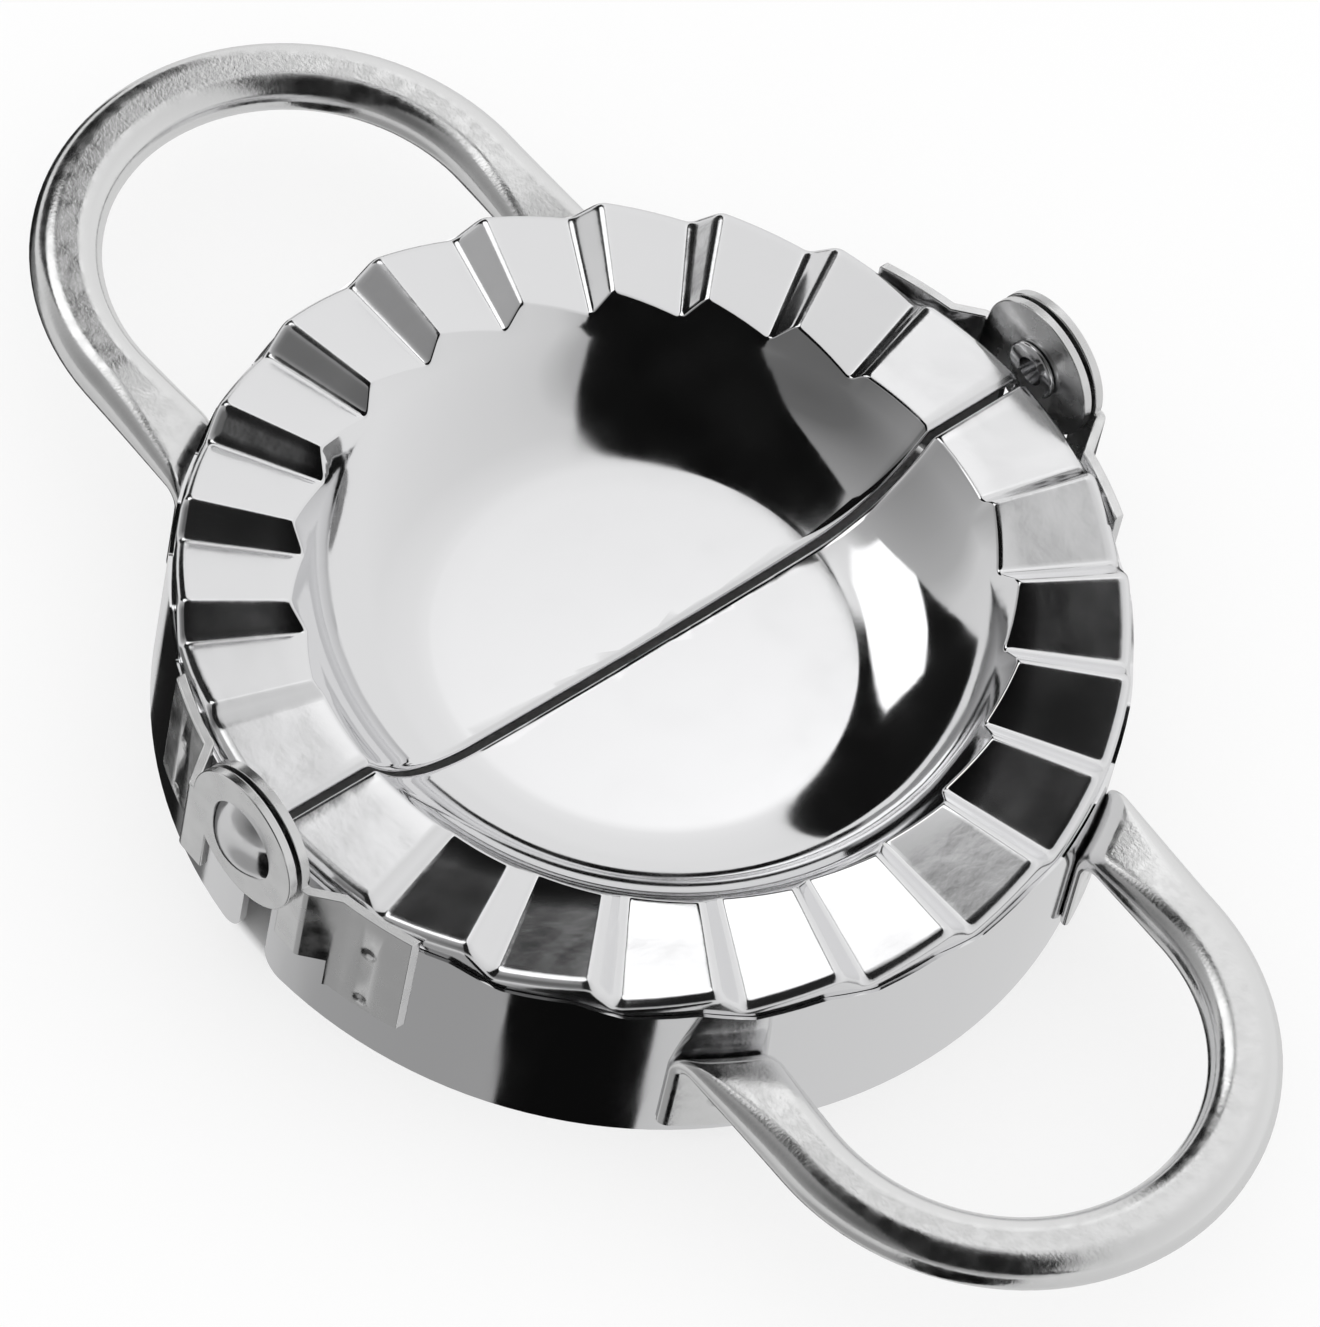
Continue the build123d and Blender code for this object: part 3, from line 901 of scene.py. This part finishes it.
def card(name, corners, brightness):
    """Flat card that only the steel reflects."""
    bm = bmesh.new()
    bm.faces.new([bm.verts.new(corner) for corner in corners])
    mesh = mesh_from(bm, name)
    hung = put_in_scene(name, mesh)
    material, nodes, links, shader = new_material(name)
    glow = nodes.new("ShaderNodeEmission")
    glow.inputs["Color"].default_value = (brightness, brightness, brightness, 1)
    links.new(glow.outputs[0], nodes["Material Output"].inputs["Surface"])
    mesh.materials.append(material)
    hung.visible_camera = hung.visible_diffuse = hung.visible_shadow = False
    return hung


def hung_card(name, directions, distance, brightness):
    """Card far from the press, with its corners in the given azimuths and elevations."""
    ways = [towards(*direction) for direction in directions]
    middle = sum(ways, Vector()).normalized()
    return card(name, [way * (distance / way.dot(middle)) for way in ways], brightness)


print("cards are hung by", hung_card.__name__)

# %% [markdown]
# Two black flags overhead make the dark shapes in the bowl and the black teeth, and without them
# the press would look like white plastic. Between them hangs one bright window, which is the white
# lens in the bowl and the flash on the front teeth.
# %% Flags and window overhead
overhead = [
    hung_card("side_flag", [(44.6, 56.8), (255.6, 29.3), (261, 12), (212, 12), (204.6, 30.6),
                            (187.6, 53.7), (175.4, 59.9), (155.8, 63.7), (133.8, 65), (90, 69.6),
                            (56.3, 64), (48, 61)], 1.5, 0.004),
    hung_card("window", [(113, 47), (99.9, 41.3), (90, 38.4), (80.4, 42.8), (70, 46.5), (53.5, 57),
                         (56, 60.5), (78.7, 65.5), (113.5, 60)], 1.35, 1.3),
    hung_card("back_flag", [(44.6, 56.8), (62.3, 10), (75, 10), (90, 10), (106, 10), (110.2, 26),
                            (113, 47)], 1.5, 0.006)]
print("overhead", [hung.name for hung in overhead])

# %% [markdown]
# Seen from above, the upright wall of the ring mirrors what lies below the table, so its black
# patches need cards down there: one for the front, one for the back, and a grey one that softens
# the change beside it. A small dark sheet lies on the table by the far hinge as painted shadow, for
# the shade between the ring and the hinge, whose ears would mirror nothing but white without it.
# %% Flags below the table, and painted shadow by the far hinge
below_table = [
    hung_card("low_flag", [(209.4, -8), (243.4, -8), (243.4, -84), (209.4, -84)], 1.5, 0.004),
    hung_card("low_back_flag", [(68, -8), (101, -8), (101, -84), (68, -84)], 1.5, 0.01),
    hung_card("low_grey", [(101, -8), (118, -8), (118, -84), (101, -84)], 1.5, 0.16),
    # Dark sheet on the table by the far hinge, seen only in reflections: painted shadow of ring and
    # hinge.
    card("hinge_painted_shadow", [(x * mm, y * mm, -0.1 * mm)
                        for x, y in ((46, -16), (70, -16), (70, 16), (46, 16))], 0.01)]
print("below the table", [hung.name for hung in below_table])

# %% [markdown]
# Between the cards the steel mirrors the walls of the room, and these are never one grey: they
# fade with the distance from a dark corner. A gradient by direction does that. The angle from one
# direction is worked out from the dot product, and a colour ramp turns it into a grey.
# %% Greys of the room
world = bpy.data.worlds.new("studio")
bpy.context.scene.world = world
world.use_nodes = True
nodes, links = world.node_tree.nodes, world.node_tree.links
where = nodes.new("ShaderNodeTexCoord").outputs["Generated"]


def greys_away_from(azimuth, elevation, steps):
    """Grey that changes with the angle from one direction, given as steps of (degrees, grey)."""
    cosine = vector_sum(nodes, links, "DOT_PRODUCT", where, towards(azimuth, elevation), answer="Value")
    angle = number_sum(nodes, links, "ARCCOSINE", cosine)
    reach = steps[-1][0]
    ramp = nodes.new("ShaderNodeValToRGB")
    for n, (degree, grey) in enumerate(steps):
        step = ramp.color_ramp.elements[n] if n < 2 else ramp.color_ramp.elements.new(1.0)
        step.position = degree / reach
        step.color = (grey, grey, grey, 1)
    links.new(between(nodes, links, angle, 0.0, radians(reach), 0.0, 1.0), ramp.inputs["Fac"])
    return ramp.outputs["Color"]


walls = greys_away_from(190, 35, [(0, 0.12), (14, 0.14), (26, 0.24), (42, 0.34), (57, 0.45),
                                  (65, 0.66), (73, 0.70), (114, 0.82)])
ceiling = greys_away_from(46, 52, [(0, 0.40), (2.5, 0.34), (5, 0.24), (8, 0.14), (15, 0.08), (35, 0.0)])
underneath = greys_away_from(191, -50, [(0, 0.33), (20, 0.36), (30, 0.58), (45, 0.66), (120, 0.75)])
print("greys of the room", len([node for node in nodes if node.type == "VALTORGB"]))


# %% [markdown]
# The glow of the ceiling is added to the walls, and below the horizon the room underneath takes
# over. Only reflected rays see all this. Everything else is lit by an even white at strength 1, so
# that the table stays white, the shadow soft and the light plain.
# %% World
def colours_mixed(factor, first, second, blend="MIX"):
    """Mix of two colours; each may be a socket or a fixed colour."""
    mixed = nodes.new("ShaderNodeMix")
    mixed.data_type, mixed.blend_type = "RGBA", blend
    for value, socket in ((factor, "Factor"), (first, "A"), (second, "B")):
        if isinstance(value, (float, tuple)):
            mixed.inputs[socket].default_value = value
        else:
            links.new(value, mixed.inputs[socket])
    return mixed.outputs["Result"]


upwards = nodes.new("ShaderNodeSeparateXYZ")
links.new(where, upwards.inputs[0])
above_horizon = between(nodes, links, upwards.outputs["Z"], -0.06, 0.0, 0.0, 1.0)
above = colours_mixed(1.0, walls, ceiling, blend="ADD")
room = colours_mixed(above_horizon, underneath, above)
reflected = nodes.new("ShaderNodeLightPath").outputs["Is Glossy Ray"]
studio = colours_mixed(reflected, (1.0, 1.0, 1.0, 1.0), room)
links.new(studio, nodes["Background"].inputs["Color"])
print("world", world.name, "strength", nodes["Background"].inputs["Strength"].default_value)
